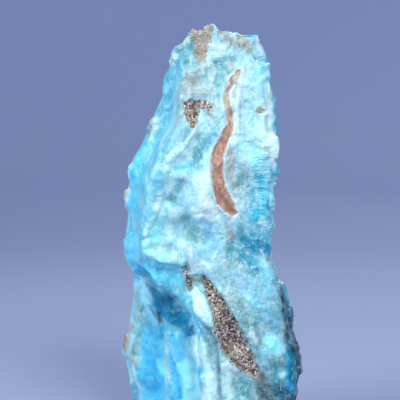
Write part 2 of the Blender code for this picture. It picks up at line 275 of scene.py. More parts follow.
# Strokes carved in the front's fine surface: the height in mm (sunk is negative), how soft the edge
# is in mm, and the route in the photo's pixels
carving = {
    "crown matrix": (-0.30, 0.35, [(202, 31, 9), (199, 42, 8), (199, 54, 5)]),
    "crown knob": (0.45, 0.4, [(207, 27, 3), (214, 27, 3)]),
    "top slope": (-0.80, 0.9, [(222, 31, 3), (232, 32, 4), (242, 34, 4), (252, 36, 2)]),
    "top corner": (0.55, 0.6, [(259, 41, 3), (262, 52, 4), (265, 66, 4)]),
    "left waist": (-0.85, 0.9, [(162, 98, 2), (158, 108, 4), (157, 116, 3)]),
    "upper right": (-0.95, 1.0, [(269, 84, 4), (272, 106, 4), (273, 130, 4)]),
    "fibre bulge": (1.00, 1.2, [(276, 166, 3), (274, 188, 5), (273, 208, 3)]),
    "lower right": (-1.10, 1.0, [(290, 306, 4), (293, 330, 5), (297, 352, 5), (299, 368, 3)]),
    "right groove": (-0.50, 0.35, [(281, 288, 1.2), (283, 306, 1.4), (285, 322, 1.4), (289, 336, 1.2)]),
    "lower cheek": (0.80, 1.2, [(129, 240, 5), (129, 262, 6), (134, 284, 5)]),
    "back notch": (-1.15, 0.7, [(279, 268, 3), (281, 279, 3)]),
    "left haunch": (0.80, 1.0, [(125, 336, 5), (123, 350, 5)]),
    "top right matrix": (-0.25, 0.3, [(252, 43, 4), (252, 50, 3)]),
    "upper nub": (1.00, 0.6, [(178, 48, 3), (174, 55, 4), (173, 64, 3)]),
    "middle nub": (0.60, 0.5, [(155, 118, 3), (151, 129, 4)]),
    "shoulder": (0.35, 0.5, [(129, 166, 3), (129, 176, 2)]),
    "brown nub": (0.55, 0.5, [(124, 190, 3), (123, 203, 3)]),
    "crease a": (-0.30, 0.2, [(212, 61, 0.8), (222, 63, 1.2), (233, 73, 1)]),
    "crease b": (-0.35, 0.25, [(248, 52, 1), (256, 59, 1.5), (265, 63, 1)]),
    "crease c": (-0.30, 0.2, [(203, 111, 1), (211, 116, 1.2), (220, 120, 0.6)]),
    "facet a": (0.25, 0.3, [(194, 70, 4), (192, 90, 4)]),
    "facet b": (-0.30, 0.3, [(200, 70, 2), (196, 84, 3)]),
    "facet c": (0.22, 0.3, [(214, 72, 4), (206, 90, 5)]),
    "seam": (0.22, 0.3, [(243, 70, 2), (240, 92, 2.5), (238, 110, 2), (238, 132, 2)]),
    "boot": (-0.24, 0.3, [(189, 106, 4), (200, 105, 4), (209, 106, 3)]),
    "boot leg": (-0.24, 0.3, [(191, 112, 6), (193, 119, 4), (193, 126, 1.5)]),
    "vein": (-0.24, 0.2, [(238, 73, 3), (229, 86, 3.5), (226, 98, 3.5), (229, 110, 3.5), (230, 126, 3.5),
                          (224, 140, 5), (219, 152, 6), (217, 164, 6), (218, 180, 6), (220, 190, 6.5),
                          (224, 199, 6.5), (229, 206, 5), (234, 213, 3)]),
    "vein lip": (0.30, 0.25, [(213, 148, 1), (209, 158, 1.5), (209, 178, 1.5), (211, 192, 1.5),
                              (217, 206, 1.5), (229, 217, 1.5)]),
    "pit": (-0.45, 0.2, [(260, 110, 2.5), (265, 111, 2)]),
    "pit rim": (0.25, 0.25, [(257, 115, 1), (265, 116, 1.5), (270, 112, 1.5)]),
    "white diagonal": (0.30, 0.35, [(197, 125, 2), (191, 136, 2.5), (182, 148, 3), (168, 160, 3)]),
    "dark slit": (-0.30, 0.25, [(190, 126, 1), (188, 134, 1.2), (184, 142, 1)]),
    "cheek": (0.35, 0.9, [(200, 185, 6), (205, 205, 6)]),
    "teal hollow": (-0.35, 0.5, [(182, 182, 2), (174, 195, 4), (170, 201, 3)]),
    "rim": (0.45, 0.7, [(157, 208, 3), (150, 221, 3), (145, 238, 4), (147, 252, 4), (159, 259, 3.5),
                        (172, 260, 3.5), (183, 263, 3)]),
    "lobe edge": (-0.35, 0.9, [(129, 222, 3), (128, 234, 3)]),
    "lobe hollow": (-0.40, 0.8, [(172, 226, 4), (186, 222, 5), (192, 234, 6), (206, 238, 5)]),
    "under the rim": (-0.30, 0.6, [(141, 263, 2), (154, 270, 2.5), (170, 272, 2.5), (182, 275, 2)]),
    "speck groove": (-0.25, 0.25, [(162, 247, 1), (172, 245, 1.2)]),
    "fork": (-0.26, 0.3, [(186, 264, 2.5), (188, 276, 3), (191, 289, 2)]),
    "fork bridge": (-0.30, 0.3, [(189, 278, 2), (203, 277, 2)]),
    "band": (-0.42, 0.3, [(204, 278, 2), (209, 286, 4), (213, 295, 6), (218, 305, 8), (222, 315, 9.5),
                          (226, 325, 11.5), (230, 336, 13), (235, 346, 13), (242, 356, 11), (248, 365, 7.5),
                          (256, 374, 3)]),
    "band crack": (-0.35, 0.25, [(232, 360, 1), (243, 369, 1.2), (258, 378, 1)]),
    "white patch": (0.50, 0.5, [(196, 290, 3), (199, 299, 6), (201, 308, 7), (206, 317, 6), (211, 325, 2)]),
    "patch shadow": (-0.55, 0.35, [(188, 312, 1), (198, 323, 1.5), (209, 332, 2), (215, 343, 2),
                                   (217, 360, 2), (218, 380, 2), (220, 400, 2)]),
    "edge of front": (0.40, 0.35, [(217, 333, 1), (222, 350, 1.5), (223, 372, 1.5), (225, 396, 1.5)]),
    "groove left": (-0.45, 0.4, [(162, 330, 1), (166, 345, 1.5), (171, 360, 1.5), (178, 375, 1.5),
                                 (181, 398, 1.5)]),
    "groove middle": (-0.40, 0.35, [(193, 328, 1.2), (195, 345, 1.2), (200, 362, 1), (203, 380, 1)]),
    "rib c": (0.35, 0.5, [(203, 336, 3), (206, 356, 3), (209, 380, 3), (210, 398, 3)]),
    "rib b": (0.30, 0.6, [(178, 340, 4), (186, 362, 5), (190, 385, 5)]),
    "pale ledge": (0.30, 0.3, [(147, 299, 1), (154, 314, 1.2), (162, 329, 1)]),
    "lower nub": (-0.30, 0.25, [(160, 313, 1.5), (161, 321, 1.5)]),
    "right lip": (0.30, 0.35, [(276, 292, 1.5), (278, 308, 1.5), (281, 324, 1.5), (286, 340, 2)]),
    "white ridge": (0.35, 0.3, [(236, 300, 1.5), (246, 318, 1), (254, 332, 2), (257, 346, 2)]),
}


def carve(skin):
    heights = numpy.zeros(len(skin.points))
    for height, edge, route in carving.values():
        heights += height * smooth(skin.inside("photo", route, edge, skin.points), -edge, edge)
    return heights


# The broken surface all over: the size of a form in mm, its height in mm on the front, the left flank and the
# rest, and for flat chips how soft their borders are
breakage = {
    "steps": {"size": 9.0, "stretch": (1.3, 1.3, 1.0), "heights": (0.10, 0.05, 0.42)},
    "facets": {"size": 6.5, "heights": (0.36, 0.14, 0.60), "border": 0.14},
    "chips": {"size": 2.7, "heights": (0.26, 0.06, 0.26), "border": 0.18},
    "nicks": {"size": 1.5, "heights": (0.12, 0.03, 0.10), "border": 0.3},
    "streaks": {"size": 1.3, "stretch": (1, 1, 6), "heights": (0.05, 0.06, 0.12)},
    "grain": {"size": 0.8, "heights": (0.05, 0.02, 0.05)},
}
relief = {
    "treads": 3.0,              # how many steps the noise of the broken steps is cut into
    "riser": (0.35, 0.65),      # the part of a step in which it rises
    "seed": 1.7,                # times a form's size: the seed of its chips
    "calming": 0.75,            # how much of the fine forms and specks a smooth zone loses
    "flankTurns": 14,           # rounds of averaging that the left flank is smoothed by
    "flankShare": 0.8,
    "carving": 1.3,             # times the heights of the carved strokes
    "foot": (0.1, 1.2),         # mm above the ground, between which the relief comes in
}

# Where the stone is smooth and glossy besides its left flank: ribs, hollow and underside of the lobe
calmRoutes = {"photo": [
    [(148, 330, 12), (150, 360, 20), (152, 395, 22)],
    [(178, 340, 12), (186, 370, 18), (192, 398, 20)],
    [(140, 268, 8), (160, 276, 9), (178, 278, 7)],
    [(150, 292, 9), (168, 308, 13), (184, 320, 10)],
]}

# Which way the stone faces where its front and left flank start, and how soft a smooth zone's border is in mm
facing = {"turns": 12, "front": (0.25, 0.75), "flank": (0.35, 0.75), "calm": (-1.0, 1.5)}


def zones(skin):
    large = skin.averaged(skin.normals, facing["turns"])
    front = smooth(-large[:, 1], *facing["front"])
    flank = smooth(-large[:, 0], *facing["flank"]) * (1 - front)
    calm = numpy.maximum(flank, smooth(skin.grownIn(calmRoutes), *facing["calm"]))
    return front, flank, 1 - front - flank, calm


def terraced(values):
    # broken steps: level treads with soft risers
    whole = numpy.floor(values)
    return whole + smooth(values - whole, *relief["riser"])


def breakUp(skin, front, flank, rest, calm):
    points = wandered(skin.points, "breakage")
    heights = numpy.zeros(len(points))
    for name, form in breakage.items():
        size = form["size"]
        if "border" in form:
            shape = chips(points, size, size * relief["seed"], form["border"])
        else:
            shape = noiseField(points, size, len(name), 3, form.get("stretch", (1, 1, 1)))
        if name == "steps":
            shape = terraced(shape * relief["treads"])
        share = front * form["heights"][0] + flank * form["heights"][1] + rest * form["heights"][2]
        heights += shape * share * (1 - relief["calming"] * calm * (front + flank))
    return heights


def roughen(skin):
    front, flank, rest, calm = zones(skin)
    level = skin.averaged(skin.points, relief["flankTurns"])
    skin.points += (level - skin.points) * (flank * relief["flankShare"])[:, None]
    skin.refresh()
    heights = breakUp(skin, front, flank, rest, calm) + carve(skin) * relief["carving"]
    skin.points += skin.normals * (heights * smooth(skin.points[:, 2], *relief["foot"]))[:, None]
    skin.refresh()
    print("relief:", round(float(abs(heights).max()), 2), "mm at most")
    return calm


makeCamera()
stone = fineStone()
skin = Skin(stone)
print("fine stone:", len(stone.data.polygons), "faces")
calm = roughen(skin)

# The stone's colours, as red, green and blue of 255
palette = {
    "abyss": (58, 115, 138), "slate": (93, 122, 128), "deep": (29, 140, 180), "lagoon": (35, 170, 213),
    "teal": (94, 163, 178), "ocean": (81, 171, 198), "sage": (118, 170, 179), "cerulean": (81, 189, 219),
    "dusk": (102, 177, 219), "sea": (120, 188, 198), "clay": (161, 174, 173), "fern": (145, 186, 192),
    "azure": (90, 199, 237), "sky": (116, 198, 222), "bright": (101, 209, 242), "mist": (163, 194, 200),
    "haze": (145, 202, 220), "cyan": (127, 213, 237), "lavender": (182, 205, 220), "aqua": (152, 220, 238),
    "pale": (167, 216, 228), "ice": (186, 228, 237), "cream": (202, 225, 227), "frost": (167, 247, 250),
    "snow": (204, 244, 244), "white": (221, 252, 252), "tan": (176, 166, 152), "brown": (132, 112, 100),
    "night": (14, 98, 138), "ink": (34, 70, 94), "milk": (226, 255, 248), "gulf": (0, 118, 152),
}


def linear(colour):
    part = numpy.array(colour) / 255
    return numpy.where(part <= 0.04045, part / 12.92, ((part + 0.055) / 1.055) ** 2.4)


# Colour strokes, from the broad ones to the small ones: the colour, how much of it, how soft in mm, and its
# routes. The first few are painted shade for the lower right side, behind the edge that the photo shows,
# where the back of the stone lies in shadow.
sideShadeStrokes = [
    ("teal", 0.9, 2.5, [(68, 31, 5), (66, 20, 8), (66, 7, 9)]),
    ("slate", 0.85, 2, [(60, 30, 3), (58, 20, 6), (58, 8, 7)]),
    ("abyss", 0.8, 1.8, [(60, 28, 2), (56, 19, 4.5), (57, 9, 5)]),
]
photoStrokes = [
    # the whole front
    ("pale", 0.9, 1.5, [(226, 60, 34), (222, 120, 44), (214, 180, 50), (206, 230, 56)]),
    ("fern", 0.84, 1.5, [(250, 270, 30), (252, 320, 34), (245, 380, 40), (240, 440, 40)]),
    # left flank
    ("sky", 1, 1.2, [(178, 50, 9), (170, 90, 12), (150, 140, 18), (140, 190, 18), (135, 240, 16)]),
    ("fern", 0.96, 0.9, [(186, 70, 5), (182, 96, 6), (180, 122, 5)]),
    ("sky", 0.6, 0.8, [(186, 66, 3), (173, 92, 4), (160, 130, 4), (155, 160, 5), (158, 190, 6)]),
    ("teal", 1, 0.8, [(187, 48, 3), (184, 58, 4)]),
    ("azure", 1, 1, [(150, 140, 4), (138, 158, 5), (133, 180, 6), (132, 205, 6)]),
    ("azure", 0.84, 0.8, [(136, 170, 4), (140, 190, 4)]),
    ("bright", 0.96, 1, [(130, 236, 6), (130, 256, 7), (138, 272, 8)]),
    ("clay", 1, 0.4, [(188, 36, 3), (182, 43, 3), (177, 48, 2)]),
    ("cream", 1, 0.35, [(175, 53, 3.4), (173, 64, 3.4)]),
    ("cream", 1, 0.4, [(156, 120, 3.4), (152, 130, 3.8), (149, 139, 2.6)]),
    ("tan", 0.96, 0.3, [(150, 126, 1.8), (149, 131, 1.5)]),
    ("tan", 0.9, 0.3, [(173, 56, 1.6), (172, 62, 1.4)]),
    ("aqua", 1, 0.25, [(130, 165, 1.6), (127, 176, 1.4), (127, 196, 1)]),
    ("tan", 1, 0.4, [(124, 188, 2.5), (122, 205, 2.5)]),
    # crown and upper front
    ("pale", 1, 1.2, [(210, 40, 12), (235, 60, 16), (250, 90, 18), (250, 125, 18)]),
    ("clay", 0.96, 0.8, [(221, 35, 4), (233, 43, 5), (246, 44, 5)]),
    ("sage", 0.84, 0.5, [(238, 44, 2.5), (245, 46, 2)]),
    ("cream", 1, 0.5, [(213, 46, 2.5), (226, 46, 2.5)]),
    ("milk", 1, 0.3, [(213, 54, 2), (223, 54, 2)]),
    ("clay", 0.96, 0.5, [(257, 38, 3), (262, 46, 3)], [(249, 42, 2.5), (250, 51, 2.5)]),
    ("sage", 0.84, 0.4, [(250, 54, 2), (258, 60, 2), (265, 62, 1.5)]),
    ("aqua", 0.6, 1.2, [(258, 70, 8), (262, 95, 8), (258, 120, 7)]),
    ("mist", 1, 0.8, [(205, 66, 7), (196, 80, 6), (200, 95, 7)]),
    ("fern", 0.72, 0.5, [(206, 70, 2.5), (197, 84, 3)]),
    ("clay", 0.9, 0.6, [(188, 74, 4), (186, 92, 4)]),
    ("clay", 0.84, 0.5, [(204, 59, 2.5), (198, 62, 2)]),
    ("cream", 1, 0.4, [(207, 64, 2.5), (209, 67, 1.5)]),
    ("lavender", 0.96, 0.7, [(214, 76, 4), (216, 98, 5), (213, 112, 4)]),
    ("sage", 0.96, 0.5, [(216, 64, 2.5), (228, 72, 3), (223, 80, 3)]),
    ("fern", 0.84, 0.3, [(213, 60, 1), (222, 63, 1.4), (233, 72, 1.4)]),
    ("cream", 1, 0.5, [(243, 72, 2.5), (240, 92, 3.5), (236, 108, 3), (237, 128, 3.5), (235, 142, 3)]),
    ("clay", 0.72, 0.4, [(236, 84, 1.5), (234, 98, 2)]),
    # painted highlight on the upper right of the front
    ("snow", 1, 0.8, [(262, 128, 5), (268, 140, 7)]),
    ("aqua", 0.72, 0.6, [(262, 78, 3), (262, 84, 2.5)]),
    ("white", 1, 0.3, [(268, 110, 2.5), (264, 116, 2)]),
    ("cream", 1, 0.25, [(258, 107, 2), (266, 108, 3), (268, 114, 2.5), (260, 115, 1.5)]),
    ("tan", 1, 0.2, [(258, 110, 3), (264, 111, 2.6)]),
    ("brown", 1, 0.15, [(260, 111, 1.8), (262, 112, 1.2)]),
    # middle of the front
    ("haze", 0.96, 0.6, [(184, 128, 4), (176, 140, 4)]),
    ("pale", 1, 0.8, [(205, 118, 6), (207, 132, 6)]),
    ("dusk", 0.96, 0.7, [(213, 138, 4), (207, 146, 5)]),
    ("sea", 1, 0.6, [(199, 138, 3), (198, 156, 4)]),
    ("ice", 1, 0.4, [(196, 126, 1.8), (191, 137, 2.5), (182, 148, 3)]),
    ("snow", 1, 0.7, [(180, 152, 4), (169, 158, 4), (167, 168, 3)]),
    ("sage", 0.84, 0.3, [(190, 127, 1), (188, 134, 1.2), (184, 142, 1)]),
    ("clay", 0.96, 0.3, [(204, 112, 1), (211, 116, 1.2), (220, 120, 1)]),
    ("sky", 0.72, 0.6, [(163, 172, 3), (160, 190, 3)]),
    ("cyan", 0.96, 0.9, [(176, 170, 6), (190, 168, 6)]),
    ("mist", 0.84, 0.5, [(188, 178, 3), (182, 186, 3)]),
    ("sea", 1, 0.5, [(178, 190, 3), (173, 198, 4.5)]),
    # painted highlights on the cheek
    ("snow", 1, 1, [(203, 178, 6), (200, 196, 8), (208, 210, 7)]),
    ("white", 1, 0.8, [(196, 212, 5), (216, 216, 5)]),
    ("cream", 1, 0.25, [(214, 148, 1.5), (209, 157, 2), (209, 178, 2), (211, 194, 2), (218, 206, 1.5)]),
    ("cream", 1, 0.4, [(222, 211, 2), (232, 219, 2.5), (239, 212, 2)]),
    ("clay", 1, 0.6, [(229, 150, 4), (230, 172, 4)]),
    ("clay", 0.96, 0.5, [(231, 178, 3), (234, 188, 3)]),
    ("frost", 0.96, 0.8, [(245, 150, 6), (262, 165, 7)]),
    ("lavender", 0.84, 0.5, [(244, 155, 4), (252, 150, 3)]),
    ("clay", 0.96, 0.5, [(242, 166, 2.5), (246, 174, 2.5)]),
    ("teal", 0.84, 0.6, [(243, 178, 4), (240, 187, 4)]),
    ("cerulean", 1, 0.8, [(260, 178, 6), (266, 200, 6), (256, 215, 8)]),
    ("cerulean", 0.6, 0.5, [(260, 182, 2.5), (269, 210, 3)]),
    ("fern", 0.96, 0.5, [(232, 194, 2), (244, 196, 3), (252, 190, 2)]),
    # the lobe
    # painted highlight along the lobe's rim
    ("frost", 1, 1, [(166, 210, 6), (156, 232, 8), (160, 250, 6)]),
    ("snow", 0.96, 0.6, [(169, 222, 3.5), (168, 238, 4)]),
    ("abyss", 0.84, 0.3, [(162, 247, 1.5), (170, 245, 1.8)]),
    # painted shade in the dish of the lobe's face, over its own sage tone
    ("sage", 1, 0.8, [(185, 222, 6), (190, 234, 7), (205, 240, 6)]),
    ("sea", 0.6, 0.6, [(184, 222, 3), (190, 232, 4)]),
    ("dusk", 0.72, 0.7, [(207, 230, 4), (213, 240, 3)]),
    ("pale", 0.96, 0.4, [(172, 211, 2.5), (176, 209, 2)]),
    ("haze", 1, 0.8, [(200, 252, 6), (216, 248, 5)]),
    ("cream", 1, 0.5, [(182, 244, 3), (190, 252, 3.5), (192, 266, 3)]),
    # painted highlight: a thin bright line along the lobe's rim
    ("ice", 1, 0.35, [(152, 219, 1.5), (146, 234, 1.5), (147, 250, 2.5), (158, 256, 2.5), (172, 256, 2.5),
     (181, 260, 1.5)]),
    ("clay", 1, 0.6, [(228, 226, 3), (232, 240, 4)]),
    ("teal", 0.84, 0.6, [(233, 244, 4), (228, 258, 4)], [(240, 226, 3), (240, 244, 3)]),
    ("deep", 1, 0.8, [(254, 236, 5), (258, 247, 6), (268, 248, 4)]),
    ("white", 1, 0.4, [(262, 222, 3), (269, 228, 3)]),
    ("deep", 1, 0.6, [(250, 262, 5), (254, 270, 4)]),
    ("cyan", 1, 0.5, [(263, 262, 4), (266, 269, 3)]),
    # under the lobe
    ("bright", 1, 1, [(140, 266, 6), (160, 274, 9), (180, 276, 6)]),
    # painted shade under the lobe's overhang and in the hollow below it, deepening the stone's own blue
    ("ocean", 0.96, 0.8, [(165, 282, 4), (183, 296, 4), (190, 305, 3)]),
    ("fern", 1, 0.8, [(137, 290, 5), (138, 315, 7)]),
    ("deep", 1, 0.8, [(152, 290, 5), (165, 312, 10), (183, 318, 8), (188, 332, 6)]),
    ("night", 1, 0.8, [(166, 298, 5), (172, 310, 7), (178, 318, 4)]),
    ("sky", 1, 0.3, [(146, 296, 1.5), (154, 314, 1.5), (161, 329, 1.2)]),
    ("brown", 0.96, 0.3, [(159, 314, 1.8), (160, 321, 2)]),
    ("azure", 1, 1, [(150, 335, 10), (155, 365, 16), (158, 395, 18)]),
    ("bright", 1, 0.8, [(178, 338, 8), (178, 355, 8)]),
    ("azure", 0.84, 0.8, [(170, 345, 3), (178, 370, 4), (172, 392, 6)]),
    # painted highlights on rib b
    ("frost", 1, 0.8, [(187, 365, 6), (190, 385, 8), (192, 400, 9)]),
    ("frost", 0.96, 0.6, [(186, 368, 3), (187, 378, 3)]),
    ("sea", 0.96, 0.6, [(141, 328, 3), (138, 342, 4)]),
    # painted highlight on the rib left of rib b
    ("frost", 0.84, 0.8, [(161, 362, 3), (165, 376, 4)]),
    ("ocean", 0.84, 0.6, [(151, 322, 2.5), (153, 334, 3)]),
    ("tan", 0.96, 0.7, [(132, 326, 3), (125, 345, 3)]),
    ("clay", 0.96, 0.6, [(135, 345, 3), (132, 360, 4)]),
    ("aqua", 0.84, 0.8, [(132, 376, 5), (134, 388, 4)]),
    ("snow", 1, 0.5, [(200, 338, 4), (204, 360, 5), (209, 385, 6), (210, 400, 6)]),
    ("snow", 0.96, 0.6, [(207, 372, 3), (208, 396, 4)]),
    # painted shadow beside the ledge at the edge of the front
    ("sage", 1, 0.4, [(205, 327, 3), (212, 340, 4), (215, 356, 3), (217, 380, 1.5)]),
    ("ice", 1, 0.4, [(214, 366, 2), (217, 400, 2)]),
    ("snow", 1, 0.5, [(222, 358, 2.5), (228, 372, 4), (228, 398, 5)]),
    # painted highlight on the raised white patch
    ("snow", 1, 0.35, [(196, 291, 4), (199, 300, 7), (201, 309, 8), (206, 318, 6), (212, 327, 2)]),
    ("ink", 0.96, 0.4, [(190, 278, 2.5), (201, 278, 2.5)]),
    # right of the matrix band
    ("haze", 1, 1.2, [(232, 276, 8), (252, 290, 12), (262, 312, 10)]),
    ("cyan", 0.96, 0.8, [(266, 275, 5), (270, 292, 5)]),
    ("mist", 1, 0.5, [(230, 296, 3), (235, 308, 3)]),
    ("aqua", 0.6, 0.6, [(245, 290, 4), (255, 306, 4)]),
    ("sage", 1, 0.5, [(240, 302, 2.5), (247, 318, 4), (255, 325, 3)]),
    ("sea", 0.96, 0.6, [(250, 314, 4), (262, 322, 4)]),
    ("sky", 0.84, 0.8, [(272, 312, 5), (276, 328, 4)]),
    ("cream", 1, 0.4, [(250, 330, 2.5), (256, 342, 2.5)]),
    ("aqua", 1, 0.8, [(270, 338, 6), (282, 348, 6), (265, 352, 5)]),
    ("teal", 1, 0.8, [(272, 366, 6), (275, 385, 7)]),
    ("lagoon", 1, 0.6, [(288, 356, 3), (290, 375, 4), (290, 398, 4)]),
    ("frost", 0.84, 0.5, [(284, 374, 4)]),
    ("abyss", 1, 0.8, [(245, 385, 7), (240, 398, 7)]),
    ("ink", 0.96, 0.6, [(259, 380, 4), (266, 392, 6)]),
    # painted shade: the back of the stone, in shadow behind the front's right edge
    ("ink", 1, 0.6, [(282, 292, 3), (285, 312, 3.5), (288, 332, 3.5)], [(293, 306, 3), (295, 325, 3.5),
     (297, 350, 3), (299, 375, 3)]),
    ("ink", 1, 0.7, [(256, 378, 3), (262, 386, 6), (268, 396, 8), (270, 425, 8)]),
    ("sea", 0.84, 0.7, [(244, 378, 4), (240, 390, 6), (236, 410, 7)]),
    # painted shade in the hollows and painted highlights on the edges, over the rest
    ("sage", 0.9, 0.6, [(222, 76, 4), (218, 84, 4)]),
    ("mist", 0.7, 0.6, [(214, 100, 6), (208, 112, 4)]),
    ("sage", 0.8, 0.5, [(186, 62, 4), (194, 64, 4)]),
    ("clay", 0.9, 0.5, [(240, 38, 3), (248, 42, 3), (250, 50, 2.5)]),
    ("clay", 0.8, 0.5, [(219, 31, 3), (228, 34, 3)]),
    ("cream", 0.8, 0.5, [(196, 91, 4), (207, 90, 4)]),
    ("milk", 0.9, 0.4, [(268, 84, 3), (271, 104, 3)]),
    ("sea", 0.9, 0.6, [(201, 145, 4), (197, 160, 5)]),
    # painted highlights down the right edge of the front
    ("white", 1, 0.5, [(272, 134, 4), (276, 150, 4), (273, 165, 4)]),
    ("frost", 0.8, 0.6, [(254, 154, 5), (262, 160, 4)]),
    ("sage", 0.9, 0.6, [(244, 170, 4), (242, 184, 5)]),
    ("white", 0.8, 0.5, [(160, 194, 3.5), (158, 206, 4)]),
    # painted highlight on the cheek
    ("milk", 0.9, 0.5, [(205, 203, 5), (213, 211, 4)]),
    ("frost", 1, 0.4, [(269, 194, 3), (270, 204, 2.5)], [(264, 219, 3), (270, 226, 3)]),
    # painted highlight along the lobe's rim, then painted shade just inside it
    ("frost", 1, 0.6, [(151, 232, 4), (149, 246, 5), (153, 255, 4), (165, 255, 3.5)]),
    ("haze", 0.8, 0.5, [(163, 242, 3.5), (172, 245, 3)]),
    ("white", 1, 0.5, [(197, 267, 4), (208, 268, 4)]),
    ("ocean", 1, 0.6, [(239, 236, 4), (243, 246, 6), (241, 257, 5)]),
    ("deep", 0.8, 0.6, [(247, 240, 4), (256, 246, 6), (267, 247, 4)]),
    ("ocean", 1, 0.6, [(246, 262, 4), (254, 258, 5)]),
    ("teal", 0.9, 0.6, [(228, 244, 3), (231, 256, 4)]),
    ("ink", 0.9, 0.4, [(187, 268, 1.5), (188, 278, 3), (191, 289, 2.5)]),
    ("cream", 0.8, 0.4, [(190, 277, 2), (203, 277, 2)]),
    # painted shade under the lobe and in the hollow below it, deepening the stone's own blue
    ("ocean", 0.9, 0.7, [(146, 282, 4), (160, 284, 5), (176, 290, 5)]),
    ("deep", 1, 0.7, [(151, 287, 3), (158, 296, 6), (166, 306, 8), (174, 316, 8), (178, 326, 4)]),
    ("night", 0.9, 0.6, [(160, 298, 3), (168, 306, 5), (175, 315, 5)]),
    ("cerulean", 0.9, 0.6, [(162, 330, 5), (173, 333, 4)]),
    ("sage", 1, 0.5, [(237, 304, 2.5), (242, 314, 4), (246, 324, 4)]),
    ("slate", 0.6, 0.4, [(232, 300, 1.5), (240, 316, 1.5), (248, 330, 1.5)]),
    # painted highlight along rib c
    ("white", 1, 0.5, [(194, 337, 3.5), (197, 352, 4.5), (197, 364, 3)]),
    ("sage", 0.9, 0.6, [(136, 348, 4), (137, 366, 5)]),
    ("ocean", 0.9, 0.6, [(134, 386, 5), (136, 402, 6), (138, 430, 6)]),
    ("azure", 0.9, 0.5, [(171, 358, 2.5), (176, 376, 4), (178, 394, 4), (178, 430, 5)]),
    ("tan", 1, 0.5, [(125, 330, 3), (123, 342, 4), (126, 352, 3)]),
    ("clay", 0.9, 0.4, [(124, 344, 2), (128, 352, 2)]),
    ("milk", 1, 0.4, [(228, 361, 3), (236, 368, 3)]),
    # painted shade: the back of the stone, in shadow behind the front's right edge
    ("ink", 1, 0.5, [(281, 290, 3), (283, 305, 4), (286, 325, 4), (289, 336, 3)]),
    ("teal", 1, 0.6, [(243, 387, 5), (245, 400, 6), (246, 430, 6)]),
    ("slate", 1, 0.5, [(252, 374, 2), (258, 380, 5), (262, 388, 7), (266, 398, 9), (268, 432, 12)]),
    ("abyss", 1, 0.5, [(273, 389, 4), (282, 393, 7), (290, 397, 7), (290, 432, 8)]),
    # painted shade on the back of the stone beside the right edge
    ("ink", 1, 0.5, [(291, 318, 3), (294, 335, 5), (297, 360, 6), (298, 398, 6)]),
    ("ink", 0.8, 0.5, [(296, 332, 2), (298, 352, 3), (300, 385, 3)]),
    ("tan", 0.8, 0.4, [(253, 365, 2.5), (258, 371, 2.5)]),
    # painted shade on the back of the stone beside the right edge
    ("abyss", 1, 0.3, [(281, 285, 1.5), (284, 291, 3), (286, 303, 5), (288, 318, 6), (291, 332, 5.5),
     (295, 348, 4)]),
    ("slate", 0.7, 0.5, [(285, 312, 1.6), (288, 328, 1.8), (292, 342, 1.4)]),
    ("ink", 0.8, 0.3, [(288, 303, 1.2), (290, 316, 1.6), (293, 334, 1.8), (296, 350, 2)]),
    ("ocean", 0.9, 0.3, [(274, 268, 1.4), (278, 284, 1.4), (279, 300, 1.3), (281, 318, 1.3)]),
    ("milk", 0.8, 0.8, [(206, 400, 8), (208, 440, 9)]),
    ("bright", 0.8, 1, [(158, 400, 12), (160, 445, 12)]),
    # forms within the forms
    # painted highlights on the cheek
    ("milk", 0.9, 0.6, [(203, 197, 5), (208, 208, 5)]),
    ("milk", 0.8, 0.5, [(194, 210, 4), (214, 215, 4)]),
    ("slate", 1, 0.5, [(192, 279, 3.5), (200, 281, 4)]),
    ("slate", 0.8, 0.5, [(182, 274, 2.5), (184, 288, 3)]),
    # painted shade in the hollow under the lobe, over its own deep blue
    ("gulf", 1, 0.6, [(147, 285, 3), (153, 291, 5), (162, 298, 5)]),
    ("gulf", 0.8, 0.8, [(168, 300, 6), (175, 312, 6)]),
    ("gulf", 0.8, 0.6, [(243, 242, 4), (254, 245, 5), (263, 247, 4)]),
    # painted highlight along the lobe's lower rim, then painted shade just above it
    ("frost", 1, 0.4, [(143, 244, 2.5), (145, 255, 3), (157, 260, 2.5), (172, 261, 2.5), (183, 264, 2)]),
    ("fern", 0.9, 0.6, [(153, 246, 3), (165, 248, 4), (176, 248, 3)]),
    ("tan", 1, 0.3, [(150, 122, 2), (148, 132, 2)]),
    ("mist", 1, 0.4, [(188, 38, 3.5), (182, 44, 3.5)]),
    ("lavender", 1, 0.5, [(260, 43, 3), (263, 54, 3)]),
    ("sage", 1, 0.6, [(238, 306, 4), (242, 318, 5), (246, 330, 4)]),
    ("slate", 1, 0.5, [(254, 362, 3), (258, 370, 5), (264, 378, 5)]),
    ("brown", 0.5, 0.5, [(256, 366, 2.5), (262, 377, 3.5)]),
    ("gulf", 1, 0.5, [(290, 350, 3), (293, 366, 4), (294, 380, 5)]),
    ("aqua", 1, 0.5, [(146, 303, 3), (150, 314, 4), (154, 324, 3)]),
    ("white", 1, 0.5, [(268, 98, 3), (270, 112, 3), (270, 124, 4)]),
    ("ocean", 0.9, 0.6, [(250, 191, 4), (254, 202, 5)]),
    ("sage", 0.9, 0.6, [(241, 178, 4), (243, 190, 4)]),
    ("teal", 0.8, 0.6, [(206, 141, 4), (200, 152, 4), (196, 166, 5)]),
    ("sea", 0.9, 0.5, [(220, 69, 3.5), (217, 84, 3.5), (217, 97, 3)]),
    ("clay", 0.8, 0.5, [(232, 61, 3.5), (236, 84, 2.5)]),
    ("clay", 1, 0.6, [(241, 42, 4), (248, 50, 4)]),
    ("teal", 0.9, 0.5, [(184, 57, 3), (187, 66, 3)]),
    ("bright", 0.9, 0.6, [(136, 196, 4), (135, 214, 4)]),
    ("frost", 0.9, 0.6, [(146, 177, 4), (147, 187, 4)]),
    ("cyan", 0.9, 0.6, [(136, 238, 4), (137, 256, 4)]),
    ("snow", 0.8, 0.5, [(172, 179, 3), (170, 188, 3)]),
